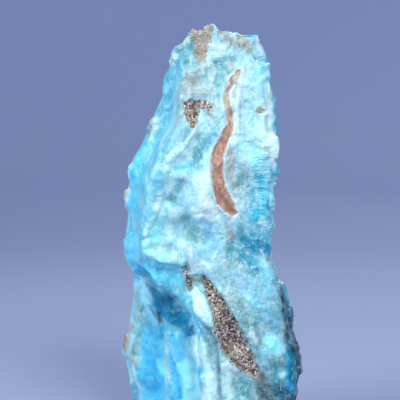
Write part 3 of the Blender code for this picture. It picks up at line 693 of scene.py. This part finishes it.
    # painted glint
    ("milk", 0.9, 0.5, [(171, 213, 4), (176, 219, 3)]),
    ("azure", 1, 0.5, [(176, 364, 4), (180, 375, 4)]),
    # painted highlights on the ribs
    ("frost", 1, 0.4, [(180, 366, 2.5), (184, 374, 3)]),
    ("frost", 0.9, 0.4, [(161, 366, 2.5), (166, 371, 2.5)]),
    # painted shadow under the lobe's rim
    ("ocean", 1, 0.8, [(158, 271, 4), (171, 276, 5), (181, 284, 4)]),
    ("sage", 0.9, 0.4, [(204, 70, 1.2), (200, 78, 1.5), (199, 90, 1.2)], [(212, 63, 1.2), (207, 74, 1.3),
     (206, 86, 1.2)]),
    ("cream", 0.8, 0.35, [(210, 76, 1.5), (213, 88, 1.6)]),
    ("milk", 0.9, 0.35, [(190, 92, 2), (188, 99, 1.5)]),
    ("clay", 0.9, 0.5, [(194, 76, 3), (192, 88, 3)]),
    ("brown", 0.7, 0.4, [(124, 333, 2.5), (123, 346, 3)]),
    ("frost", 0.8, 0.6, [(267, 340, 4), (279, 350, 4)]),
    # painted glints along the lobe's left edge
    ("white", 1, 0.3, [(152, 219, 1.2), (148, 228, 1.4), (145, 240, 1.4)]),
    ("milk", 1, 0.3, [(165, 206, 1.2), (160, 214, 1)]),
    ("deep", 0.9, 0.5, [(262, 246, 3), (269, 250, 2.5)]),
]


# Strokes of the same kind on the sides that the photograph doesn't show
hidden = {
    "seed": 5,
    "count": 80,
    "azimuths": (62, 298),
    "heights": (4, 72),         # mm
    "widths": (0.4, 2.6),       # mm, half of a stroke, for the first half of them
    "fineShare": 0.5,           # times that, for the second half
    "taper": (0.6, 1.2),
    "bends": (2, 4),            # points in a route
    "drift": (-9, 9),           # degrees from point to point
    "waver": (-7, 7),           # degrees
    "fall": (3.0, 7.0),         # mm
    "lowest": 1.0,              # mm
    "shares": (0.5, 0.95),
    "softness": (0.25, 1.0),    # mm
    "colours": ["sky", "bright", "aqua", "ice", "frost", "snow", "sea", "fern", "teal", "haze", "lavender",
                "ocean", "cream", "clay"],
    "odds": [4, 4, 5, 5, 3, 4, 3, 3, 2, 3, 2, 2, 2, 1],
}


def hiddenStrokes():
    dice = random.Random(hidden["seed"])
    for k in range(hidden["count"]):
        azimuth, height = dice.uniform(*hidden["azimuths"]), dice.uniform(*hidden["heights"])
        wide = dice.uniform(*hidden["widths"]) * (1.0 if k < hidden["count"] / 2 else hidden["fineShare"])
        drift = dice.uniform(*hidden["drift"])
        route = []
        for step in range(dice.randint(*hidden["bends"])):
            route.append((azimuth, height, wide * dice.uniform(*hidden["taper"])))
            azimuth += drift + dice.uniform(*hidden["waver"])
            height -= dice.uniform(*hidden["fall"])
        route = [spot for spot in route if spot[1] > hidden["lowest"]]
        colour = dice.choices(hidden["colours"], hidden["odds"])[0]
        yield colour, dice.uniform(*hidden["shares"]), dice.uniform(*hidden["softness"]), "side", route


def allStrokes():
    yield from hiddenStrokes()
    for view, group in (("side", sideShadeStrokes), ("photo", photoStrokes)):
        for colour, share, edge, *routes in group:
            for route in routes:
                yield colour, share, edge, view, route


# Where nothing is painted one by one: soft bands that lean with the stone
bands = {
    "size": 6.5,                   # mm
    "stretch": (0.8, 0.8, 2.6),
    "contrast": 0.75,
    "ramp": {0.0: "ocean", 0.2: "cerulean", 0.4: "sky", 0.55: "haze", 0.7: "aqua", 0.85: "pale", 1.0: "mist"},
}


def banded(points):
    pattern = noiseField(wandered(points, "bands"), bands["size"], 3, 3, bands["stretch"])
    tone = numpy.clip(0.5 + pattern * bands["contrast"], 0, 1)
    colours = numpy.array([linear(palette[name]) for name in bands["ramp"].values()])
    return numpy.stack([numpy.interp(tone, list(bands["ramp"]), colours[:, k]) for k in range(3)], axis=1)


def paint(skin):
    points = wandered(skin.points, "strokes")
    tint = banded(points)
    for name, share, edge, view, route in allStrokes():
        weight = share * smooth(skin.inside(view, route, edge, points), -edge, edge)
        tint += (linear(palette[name]) - tint) * weight[:, None]
    return tint


def keep(mesh, name, values):
    # one value or one colour for each point, for the material to read
    wide = values.ndim > 1
    attribute = mesh.attributes.new(name, "FLOAT_COLOR" if wide else "FLOAT", "POINT")
    if wide:
        values = numpy.concatenate([values, numpy.ones((len(values), 1))], axis=1)
    attribute.data.foreach_set("color" if wide else "value", values.astype(numpy.float32).ravel())


# Where the stone has fine level fibres, where they fan out down to the left, and where the vein is charred
fineRoutes = {
    "fibre": {"photo": [[(262, 150, 6), (266, 175, 9), (266, 205, 9), (262, 225, 5)]],
              "side": [[(60, 44, 3.0), (75, 38, 5.0), (70, 30, 3.0)], [(180, 34, 3.0), (190, 26, 4.0)]]},
    "fan": {"photo": [[(206, 124, 4), (204, 140, 8), (196, 158, 8)], [(178, 200, 3), (190, 190, 3)]],
            "side": [[(140, 30, 3.0), (150, 22, 4.0)]]},
    "char": {"photo": [[(222, 196, 2), (226, 201, 2.5), (231, 208, 2.5), (234, 212, 1.5)],
                       [(231, 84, 1.5), (229, 89, 1.5)]]},
}
fineEdges = {"fibre": 0.8, "fan": 0.8, "char": 0.4}     # mm, how soft their borders are

# Bodies grown into the stone that have a clear edge
veinRoutes = {
    "photo": [
        [(241, 69, 1), (237, 74, 3), (233, 80, 3.6), (229, 87, 3), (227, 93, 3), (226, 99, 3.4),
         (228, 106, 3), (230, 112, 3.4), (230, 119, 3), (230, 126, 3.2), (227, 132, 5), (224, 140, 5),
         (221, 147, 5.6), (218, 154, 6), (217, 162, 6.2), (217, 172, 6), (218, 181, 6), (220, 190, 7.2),
         (223, 199, 7.8), (228, 206, 6.8), (233, 212, 3.8)],
    ],
    "side": [
        [(172, 68, 0.4), (176, 60, 0.7), (168, 51, 0.6), (172, 42, 0.9), (164, 34, 1.1), (168, 25, 0.5)],
        [(168, 44, 0.4), (158, 38, 0.5), (152, 30, 0.3)],
        [(96, 52, 0.2), (100, 46, 0.5), (95, 39, 0.6), (99, 33, 0.2)],
    ],
}
matrixRoutes = {
    "photo": [
        [(198, 32, 8), (207, 30, 7), (201, 42, 9), (202, 52, 7), (198, 58, 4)],
        [(189, 106, 5.5), (199, 105, 5.5), (208, 106, 4.5)],
        [(191, 112, 7.5), (192, 119, 5.5), (193, 126, 2)],
        [(185, 266, 1.6), (187, 275, 2.8), (190, 287, 1.8)],
        [(204, 277, 2), (209, 286, 4.5), (213, 295, 6.5), (218, 305, 8.5), (222, 315, 10), (226, 325, 12),
         (230, 336, 13), (235, 346, 13), (242, 356, 11.5), (248, 365, 8), (256, 374, 3)],
    ],
    "side": [
        [(206, 57, 1.2), (199, 53, 2.8), (208, 49, 2.0), (202, 45, 1.2)],
        [(214, 44, 0.7)],
        [(184, 9, 1.4), (198, 7, 2.6), (214, 9, 2.0), (224, 7, 1.2)],
        [(204, 14, 1.6), (209, 20, 0.8)],
        [(136, 33, 0.8), (142, 29, 1.8), (139, 24, 1.0)],
        [(228, 19, 0.9), (231, 15, 1.3)],
    ],
}
ragged = {"size": 1.0, "seed": 55, "octaves": 2, "reach": 0.35}     # mm, how the matrix's edge frays
rustHeights = (61.5, 58.5)      # mm, between which the vein turns from dull above to rusty below


# Sand grains that stand on the matrix patches
sand = {
    "seed": 7,
    "share": 0.42,                # of the stone's points in a patch that carry a grain
    "sizes": (0.11, 0.26),        # mm, half of a grain
    "stretch": (0.7, 1.3),
    "stand": (-0.3, 0.4),         # times its size that a grain stands out
    "depth": 0.15,                # mm inside a patch where the grains start
    "lowest": 1.5,                # mm above the ground
    "tones": [(58, 50, 46), (110, 98, 90), (152, 138, 126), (178, 164, 150), (208, 196, 184),
              (242, 236, 228)],
    "odds": {"dark": [8, 6, 4, 3, 2, 1], "mixed": [3, 3, 5, 5, 4, 3], "light": [1, 1, 3, 6, 7, 6],
             "crown": [0, 1, 3, 7, 6, 2]},
    "nest": 1.7,                  # mm, size of the nests of dark or light sand
    "nestEdges": (-0.12, 0.15),   # below the first the sand is dark, above the second it is light
    "pull": 0.4,                  # how strongly the nests below are drawn to their places, for each mm inside
    "lightNests": {"photo": [[(186, 101, 4), (188, 108, 3)], [(238, 352, 4), (248, 364, 4)],
                             [(213, 309, 2.5), (217, 314, 2)]]},
    "darkNests": {"photo": [[(194, 117, 4)], [(222, 311, 4), (226, 320, 4)], [(228, 338, 4), (233, 346, 3)]]},
    "crown": 69.0,                # mm, above here the sand is pale and finer
    "crownSize": 0.6,             # times the size elsewhere
    "batch": 100,                 # grains made at a time
}


def sandKind(height, nest):
    if height > sand["crown"]:
        return "crown"
    if nest < sand["nestEdges"][0]:
        return "dark"
    return "light" if nest > sand["nestEdges"][1] else "mixed"


def sandGrains(skin, matrix):
    dice = random.Random(sand["seed"])
    nests = skin.grownIn(sand["lightNests"]) - skin.grownIn(sand["darkNests"])
    spots = [k for k in numpy.flatnonzero((matrix > sand["depth"]) & (skin.points[:, 2] > sand["lowest"]))
             if dice.random() < sand["share"]]
    whole = bmesh.new()
    for start in range(0, len(spots), sand["batch"]):
        form = bmesh.new()
        tone = form.verts.layers.float_color.new("tone")
        for index in spots[start:start + sand["batch"]]:
            point, normal = Vector(skin.points[index]), Vector(skin.normals[index])
            half = dice.uniform(*sand["sizes"])
            if skin.points[index, 2] > sand["crown"]:
                half *= sand["crownSize"]
            angle = dice.uniform(0, math.tau)
            turn = Matrix.Rotation(angle, 4, Vector([dice.uniform(-1, 1) for k in range(3)]))
            spot = point + normal * half * dice.uniform(*sand["stand"])
            stretch = Matrix.Diagonal([half * dice.uniform(*sand["stretch"]) for k in range(3)] + [1.0])
            place = Matrix.Scale(mm, 4) @ Matrix.Translation(spot) @ turn @ stretch
            nest = noise.noise(spot / sand["nest"]) + nests[index] * sand["pull"]
            odds = sand["odds"][sandKind(spot.z, nest)]
            colour = (*linear(dice.choices(sand["tones"], odds)[0]), 1.0)
            grain = bmesh.ops.create_icosphere(form, subdivisions=1, radius=1.0, matrix=place)
            for vert in grain["verts"]:
                vert[tone] = colour
        part = meshOf("grains", form)
        whole.from_mesh(part)
        bpy.data.meshes.remove(part)
    grains = linkObject("matrix_grains", meshOf("matrix_grains", whole))
    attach(grains, "root")
    return grains


# Small clear crystals that glitter on the right of the front, and here and there elsewhere
frost = {
    "seed": 11,
    "routes": {
        "photo": [
            [(224, 230, 5), (236, 250, 8), (246, 268, 9), (252, 286, 9), (258, 305, 8)],
            [(214, 262, 3), (226, 280, 5), (236, 296, 6), (246, 312, 6)],
            [(262, 222, 4), (266, 232, 3)],
            [(247, 322, 4), (254, 340, 5)],
            [(214, 42, 3), (222, 54, 4)],
            [(196, 96, 4), (206, 94, 3)],
        ],
        "side": [
            [(150, 60, 2.0), (158, 50, 3.0), (150, 40, 2.0)],
            [(205, 34, 2.0), (214, 24, 3.0)],
            [(70, 40, 1.0), (76, 30, 2.0)],
        ],
    },
    "share": 0.16,                # of the stone's points inside that carry a crystal, times the crowding
    "crowding": (0.6, 3.0),       # on average, and how much it varies
    "nest": 1.3,                  # mm, size of the clusters
    "sizes": (0.05, 0.13),        # mm, half of its width
    "length": (1.0, 2.2),         # times its width
    "tip": 0.25,                  # of its width
    "sides": 6,
    "lift": 0.4,                  # times half of its width that it stands out
    "rise": 0.3,                  # how steeply it stands
    "tones": [(204, 244, 248), (226, 252, 252), (186, 232, 242), (240, 254, 252)],
}


def frostCrystals(skin):
    dice = random.Random(frost["seed"])
    inside = skin.grownIn(frost["routes"])
    form = bmesh.new()
    tone = form.verts.layers.float_color.new("tone")
    for index in numpy.flatnonzero(inside > 0):
        point, normal = Vector(skin.points[index]), Vector(skin.normals[index])
        crowd = frost["crowding"][0] + frost["crowding"][1] * noise.noise(point / frost["nest"])
        if dice.random() > frost["share"] * max(0.0, crowd):
            continue
        half = dice.triangular(*frost["sizes"], frost["sizes"][0])
        along = Vector([dice.uniform(-1, 1) for k in range(3)]).cross(normal)
        along = normal.cross(along).normalized() + normal * frost["rise"]
        place = (Matrix.Scale(mm, 4) @ Matrix.Translation(point + normal * half * frost["lift"])
                 @ along.to_track_quat("Z", "X").to_matrix().to_4x4()
                 @ Matrix.Rotation(dice.uniform(0, math.tau), 4, "Z"))
        length = half * 2 * dice.uniform(*frost["length"])
        crystal = bmesh.ops.create_cone(form, cap_ends=True, segments=frost["sides"], radius1=half,
                                        radius2=half * frost["tip"], depth=length, matrix=place)
        colour = (*linear(dice.choice(frost["tones"])), 1.0)
        for vert in crystal["verts"]:
            vert[tone] = colour
    crystals = linkObject("frost_crystals", meshOf("frost_crystals", form))
    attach(crystals, "root")
    return crystals


matrix = skin.grownIn(matrixRoutes)
matrix += noiseField(skin.points, ragged["size"], ragged["seed"], ragged["octaves"]) * ragged["reach"]
keep(skin.mesh, "tint", paint(skin))
keep(skin.mesh, "matrix", matrix)
keep(skin.mesh, "vein", skin.grownIn(veinRoutes))
for name, edge in fineEdges.items():
    keep(skin.mesh, name, smooth(skin.grownIn(fineRoutes[name]), -edge, edge))
keep(skin.mesh, "calm", calm)
keep(skin.mesh, "pale", smooth(skin.points[:, 2], sand["crown"] - 1, sand["crown"] + 1))
keep(skin.mesh, "rust", 1 - smooth(skin.points[:, 2], rustHeights[1], rustHeights[0]))
print("painted:", sum(1 for stroke in allStrokes()), "strokes")
grains = sandGrains(skin, matrix)
print("sand grains:", len(grains.data.polygons), "faces")
crystals = frostCrystals(skin)
print("frost crystals:", len(crystals.data.polygons), "faces")

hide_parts("blue_aragonite")
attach(stone, "root")


class Graph:
    # A short hand for a material's nodes
    def __init__(self, name, settings):
        self.material = bpy.data.materials.new(name)
        self.material.use_nodes = True
        self.tree = self.material.node_tree
        self.shader = self.tree.nodes["Principled BSDF"]
        for key, value in settings.items():
            self.shader.inputs[key].default_value = value

    def add(self, kind, inputs=None, **settings):
        node = self.tree.nodes.new("ShaderNode" + kind)
        for key, value in settings.items():
            setattr(node, key, value)
        for key, value in (inputs or {}).items():
            self.plug(value, node.inputs[key])
        return node

    def plug(self, value, socket):
        if isinstance(value, bpy.types.NodeSocket):
            self.tree.links.new(value, socket)
        else:
            socket.default_value = value

    def give(self, key, value):
        self.plug(value, self.shader.inputs[key])

    def field(self, name):
        return self.add("Attribute", attribute_name=name).outputs["Fac"]

    def colour(self, name):
        return self.add("Attribute", attribute_name=name).outputs["Color"]

    def place(self, scale=(1, 1, 1), lean=0.0):
        # object coordinates in mm, leant by degrees in the front's plane and stretched by scale
        where = self.add("TexCoord").outputs["Object"]
        if lean:
            turn = (0, math.radians(lean), 0)
            where = self.add("Mapping", {"Vector": where, "Rotation": turn}).outputs["Vector"]
        return self.add("Mapping", {"Vector": where, "Scale": [s / mm for s in scale]}).outputs["Vector"]

    def vector(self, operation, a, b):
        return self.add("VectorMath", {0: a, 1: b}, operation=operation).outputs["Vector"]

    def shade(self, colour, amount):
        return self.add("VectorMath", {0: colour, "Scale": amount}, operation="SCALE").outputs["Vector"]

    def noise(self, where, scale, detail=3.0, roughness=0.55):
        return self.add("TexNoise", {"Vector": where, "Scale": scale, "Detail": detail,
                                     "Roughness": roughness}).outputs["Fac"]

    def bent(self, where, scale, reach):
        # a place pushed about by noise, in mm, so that what is drawn there has no straight edges
        shift = self.add("TexNoise", {"Vector": where, "Scale": scale, "Detail": 2.0}).outputs["Color"]
        shift = self.vector("SUBTRACT", shift, (0.5, 0.5, 0.5))
        return self.vector("ADD", where, self.shade(shift, reach * 2))

    def cells(self, where, scale, feature="F1"):
        return self.add("TexVoronoi", {"Vector": where, "Scale": scale}, feature=feature)

    def channels(self, colour):
        return self.add("SeparateColor", {"Color": colour}).outputs

    def math(self, operation, *values):
        node = self.add("Math", operation=operation)
        for value, socket in zip(values, node.inputs):
            self.plug(value, socket)
        return node.outputs[0]

    def plus(self, first, *others):
        for other in others:
            first = self.math("ADD", first, other)
        return first

    def minus(self, a, b):
        return self.math("SUBTRACT", a, b)

    def times(self, first, *others):
        for other in others:
            first = self.math("MULTIPLY", first, other)
        return first

    def step(self, value, low, high, start=0.0, end=1.0):
        return self.add("MapRange", {"Value": value, "From Min": low, "From Max": high, "To Min": start,
                                     "To Max": end}, interpolation_type="SMOOTHSTEP").outputs["Result"]

    def mix(self, share, a, b, blend="MIX"):
        node = self.add("Mix", data_type="RGBA", blend_type=blend)
        for key, value in (("Factor_Float", share), ("A_Color", a), ("B_Color", b)):
            socket = next(s for s in node.inputs if s.identifier == key)
            self.plug(value if isinstance(value, (bpy.types.NodeSocket, float)) else (*value, 1.0), socket)
        return next(s for s in node.outputs if s.identifier == "Result_Color")

    def ramp(self, value, stops):
        node = self.add("ValToRGB", {"Fac": value})
        marks = node.color_ramp.elements
        while len(marks) < len(stops):
            marks.new(0.5)
        for mark, (place, colour) in zip(marks, stops.items()):
            mark.position = place
            mark.color = (*linear(colour), 1.0)
        return node.outputs["Color"]


# Place and size in m, spread in degrees, power in W
lights = {
    "key": {"at": (0.16, -0.36, 0.34), "size": 0.2, "spread": 180, "power": 1.82, "tint": (1, 0.97, 0.84)},
    "fill": {"at": (-0.46, -0.22, 0.28), "size": 0.34, "spread": 70, "power": 0.5, "tint": (0.9, 0.98, 0.92)},
    "back": {"at": (0.22, 0.5, 0.4), "size": 0.3, "spread": 60, "power": 0.2, "tint": (1, 0.98, 0.92)},
}
studio = {
    "aim": (0, 0, 0.04),    # m, what the lights point at
    "floor": 0.50,          # m, radius of the flat floor
    "cove": 0.30,           # m, radius of the curve up to the wall
    "coveSteps": 12,
    "wall": 0.90,           # m, height of the wall
    "steps": 96,
    "merge": 0.0001,        # m
    "shader": {"Roughness": 0.9},
    "colours": ((0.27, 0.33, 0.55), (0.45, 0.55, 0.86)),     # under the stone and far from it: painted darker where the lamps light the floor most
    "blend": (0.22, 0.52),  # m from the stone, where the one turns into the other
    "sky": (0.98, 1.0, 0.91),
    "skyStrength": 0.5,
}


def floorMaterial():
    graph = Graph("pale floor", studio["shader"])
    where = graph.add("TexCoord").outputs["Object"]
    distance = graph.add("VectorMath", {0: where}, operation="LENGTH").outputs["Value"]
    # painted darker under the stone, where the lamps light the floor most, and paler far off
    graph.give("Base Color", graph.mix(graph.step(distance, *studio["blend"]), *studio["colours"]))
    return graph.material


def makeStudio():
    flat, cove = studio["floor"], studio["cove"]
    profile = [(0.0, 0.0), (flat, 0.0)]
    for k in range(1, studio["coveSteps"] + 1):
        turn = math.radians(90 * k / studio["coveSteps"])
        profile.append((flat + cove * math.sin(turn), cove * (1 - math.cos(turn))))
    profile.append((flat + cove, studio["wall"]))
    form = bmesh.new()
    spots = [form.verts.new((x, 0.0, z)) for x, z in profile]
    lines = [form.edges.new(pair) for pair in zip(spots, spots[1:])]
    bmesh.ops.spin(form, geom=spots + lines, cent=(0, 0, 0), axis=(0, 0, 1), angle=math.tau,
                   steps=studio["steps"], use_merge=True)
    bmesh.ops.remove_doubles(form, verts=form.verts, dist=studio["merge"])
    bmesh.ops.recalc_face_normals(form, faces=form.faces)
    mesh = meshOf("floor", form)
    mesh.shade_smooth()
    mesh.materials.append(floorMaterial())
    floor = linkObject("floor", mesh)


def makeLights():
    for name, light in lights.items():
        lamp = bpy.data.lights.new(name, "AREA")
        lamp.size = light["size"]
        lamp.energy = light["power"]
        lamp.color = light["tint"]
        lamp.spread = math.radians(light["spread"])
        piece = linkObject(name, lamp)
        piece.location = light["at"]
        piece.rotation_euler = (Vector(studio["aim"]) - piece.location).to_track_quat("-Z", "Y").to_euler()
        piece.visible_camera = False
    world = bpy.data.worlds.new("studio")
    world.use_nodes = True
    back = world.node_tree.nodes["Background"]
    back.inputs["Color"].default_value = (*studio["sky"], 1.0)
    back.inputs["Strength"].default_value = studio["skyStrength"]
    bpy.context.scene.world = world
    bpy.context.scene.view_settings.view_transform = "Standard"


# The stone's look. A noise is its scale for each mm, its detail and its roughness. A band is the part of the
# noise that is used, and what the two ends of that part turn into.
stoneLook = {
    "shader": {"IOR": 1.55, "Specular IOR Level": 0.2, "Coat Weight": 0.22, "Coat Roughness": 0.17,
               "Subsurface Radius": (0.5, 0.9, 1.0), "Subsurface Scale": 0.6 * mm},
    "roughness": (0.32, 0.8),                 # of the stone and of its sandy matrix
    "subsurface": (0.30, 0.0),
    "bump": 0.30,                             # mm
    "bumpShares": (0.70, 0.30),               # of the bump, under the coat and on it
    "clouds": ((0.6, 3.0, 0.55), (0.28, 0.72, 1.24, 0.80)),
    "specks": ((1.9, 2.0, 0.6), (0.3, 0.7, 0.15, -0.15)),
    "chips": (0.9, (0.0, 1.0, 0.10, -0.10)),
    "lineNoise": (1.0, 3.0, 0.7),
    # stretch, lean in degrees and depth
    "lines": {"fibre": ((0.35, 0.35, 2.4), 0, 0.30), "fan": ((2.2, 0.8, 0.35), 32, 0.22)},
    "lineShade": 0.4,
    "fleckNoise": (1.9, 3.0, 0.7),
    "flecks": {"snow": (0.38, 0.33, 0.0, 0.50), "ocean": (0.65, 0.70, 0.0, 0.30)},
    "seams": {"pale": (0.30, 0.45, 0.08), "dark": (0.42, 0.38, 0.035)},     # scale, scale of places, width
    "seamShares": {"pale": 0.35, "dark": 0.28},
    "veinEdge": ((0.9, 5.0, 0.6), 1.1),       # noise, and how many mm it moves the edge
    "rusty": {0.30: (150, 106, 94), 0.5: (184, 144, 128), 0.7: (204, 170, 154)},
    "dull": {0.32: (136, 120, 110), 0.5: (174, 156, 144), 0.68: (192, 186, 180)},
    "orange": (204, 152, 122),
    "charred": (112, 92, 74),
    "grains": 2.6,                            # grains to a mm in the matrix
    "grainTones": {0.0: (70, 62, 60), 0.3: (128, 116, 110), 0.6: (164, 150, 142), 1.0: (206, 194, 188)},
    "crownTone": (172, 164, 156),
}


def clearness(graph, lively, lines):
    # Light that goes deeper into the stone comes back richer in colour, so clouds, chips and specks of
    # clearer stone raise the painted colour to a power
    kind, band = stoneLook["clouds"]
    cloud = graph.step(graph.noise(graph.place(), *kind), *band)
    kind, band = stoneLook["specks"]
    speck = graph.noise(graph.bent(graph.place((1.0, 1.0, 0.55)), 1.2, 0.4), *kind)
    speck = graph.times(graph.step(speck, *band), lively)
    scale, band = stoneLook["chips"]
    chip = graph.cells(graph.bent(graph.place(), 1.6, 0.5), scale).outputs["Color"]
    return graph.minus(graph.plus(cloud, speck, graph.step(graph.channels(chip)["Red"], *band)), lines)


def fineLines(graph):
    drawn = []
    for name, (stretch, lean, depth) in stoneLook["lines"].items():
        line = graph.noise(graph.place(stretch, lean), *stoneLook["lineNoise"])
        drawn.append(graph.times(graph.step(line, 0.3, 0.7, -depth, depth), graph.field(name)))
    return graph.plus(*drawn)


def seamLines(graph, lively):
    # thin seams along the borders of cells, each only in places
    seams = {}
    for name, (scale, where, width) in stoneLook["seams"].items():
        cell = graph.cells(graph.bent(graph.place((1.0, 1.0, 0.6), 14), 0.5, 1.1), scale, "DISTANCE_TO_EDGE")
        line = graph.step(cell.outputs["Distance"], width, 0.0)
        here = graph.step(graph.noise(graph.place(), where, 2.0), 0.52, 0.62)
        seams[name] = graph.times(line, here, lively)
    return seams


def withVein(graph, base):
    # the rusty vein, orange at its edge and duller at its upper end, charred and pale-rimmed in places
    kind, reach = stoneLook["veinEdge"]
    frayed = graph.minus(graph.noise(graph.place(), *kind), 0.5)
    vein = graph.plus(graph.field("vein"), graph.times(frayed, reach))
    here = graph.step(graph.noise(graph.place(), 0.5, 2.0), 0.36, 0.5, 0.2, 0.9)
    rim = graph.times(graph.step(vein, -0.55, -0.20), here)
    base = graph.mix(rim, base, linear(palette["cream"]))
    mottle = graph.noise(graph.place((1.0, 1.0, 0.45)), 1.3, 5.0, 0.65)
    tone = graph.mix(graph.field("rust"), graph.ramp(mottle, stoneLook["dull"]),
                     graph.ramp(mottle, stoneLook["rusty"]))
    tone = graph.mix(graph.step(vein, 0.0, 0.35, 0.40, 0.0), tone, linear(stoneLook["orange"]))
    tone = graph.mix(graph.times(graph.field("char"), 0.7), tone, linear(stoneLook["charred"]))
    return graph.mix(graph.step(vein, -0.16, 0.22), base, tone)


def stoneMaterial():
    graph = Graph("blue aragonite", stoneLook["shader"])
    still = graph.field("calm")
    lively = graph.minus(1.0, graph.times(still, relief["calming"]))
    lines = fineLines(graph)
    base = graph.add("Gamma", {"Color": graph.colour("tint"), "Gamma": clearness(graph, lively, lines)})
    base = graph.shade(base.outputs["Color"], graph.plus(graph.times(lines, stoneLook["lineShade"]), 1.0))

    # white frost and dark specks
    fleck = graph.noise(graph.place((1.0, 1.0, 0.7)), *stoneLook["fleckNoise"])
    for name, band in stoneLook["flecks"].items():
        base = graph.mix(graph.times(graph.step(fleck, *band), lively), base, linear(palette[name]))

    # the pale seams keep away from the smooth zones
    seams = seamLines(graph, lively)
    pale = graph.times(seams["pale"], graph.minus(1.0, still), stoneLook["seamShares"]["pale"])
    base = graph.mix(pale, base, linear(palette["snow"]))
    dark = graph.times(seams["dark"], stoneLook["seamShares"]["dark"])
    base = graph.mix(dark, base, linear(palette["teal"]))
    base = withVein(graph, base)

    # the sandy matrix, grain by grain
    grains = graph.cells(graph.place(), stoneLook["grains"])
    shades = graph.channels(grains.outputs["Color"])
    tone = graph.ramp(shades["Red"], stoneLook["grainTones"])
    tone = graph.mix(graph.times(graph.field("pale"), 0.75), tone, linear(stoneLook["crownTone"]))
    matrix = graph.plus(graph.field("matrix"), graph.times(graph.minus(shades["Green"], 0.5), 0.7))
    inMatrix = graph.step(matrix, -0.08, 0.08)
    graph.give("Base Color", graph.mix(inMatrix, base, tone))
    graph.give("Roughness", graph.step(inMatrix, 0.0, 1.0, *stoneLook["roughness"]))
    graph.give("Subsurface Weight", graph.step(inMatrix, 0.0, 1.0, *stoneLook["subsurface"]))

    heights = graph.plus(graph.times(graph.noise(graph.place(), 1.3, 4.0, 0.6), lively),
                         graph.times(graph.minus(1.0, grains.outputs["Distance"]), inMatrix),
                         graph.times(lines, 1.2))
    heights = graph.minus(heights, graph.times(seams["dark"], 0.5))
    for socket, share in zip(("Normal", "Coat Normal"), stoneLook["bumpShares"]):
        bump = graph.add("Bump", {"Height": heights, "Distance": stoneLook["bump"] * mm, "Strength": share})
        graph.give(socket, bump.outputs["Normal"])
    return graph.material


def frostMaterial():
    graph = Graph("clear frost", {"Roughness": 0.18, "IOR": 1.55})
    cloudy = graph.step(graph.noise(graph.place(), 3.0, 2.0), 0.3, 0.7, 0.85, 1.05)
    graph.give("Base Color", graph.shade(graph.colour("tone"), cloudy))
    return graph.material


def sandMaterial():
    graph = Graph("matrix sand", {"Roughness": 0.55})
    mottle = graph.ramp(graph.noise(graph.place(), 5.0, 3.0), {0.35: (140, 140, 140), 0.65: (225, 225, 225)})
    graph.give("Base Color", graph.mix(0.6, graph.colour("tone"), mottle, "SOFT_LIGHT"))
    return graph.material


makeStudio()
makeLights()
stone.data.materials.clear()
stone.data.materials.append(stoneMaterial())
grains.data.materials.append(sandMaterial())
crystals.data.materials.append(frostMaterial())
print("materials:", len(bpy.data.materials))
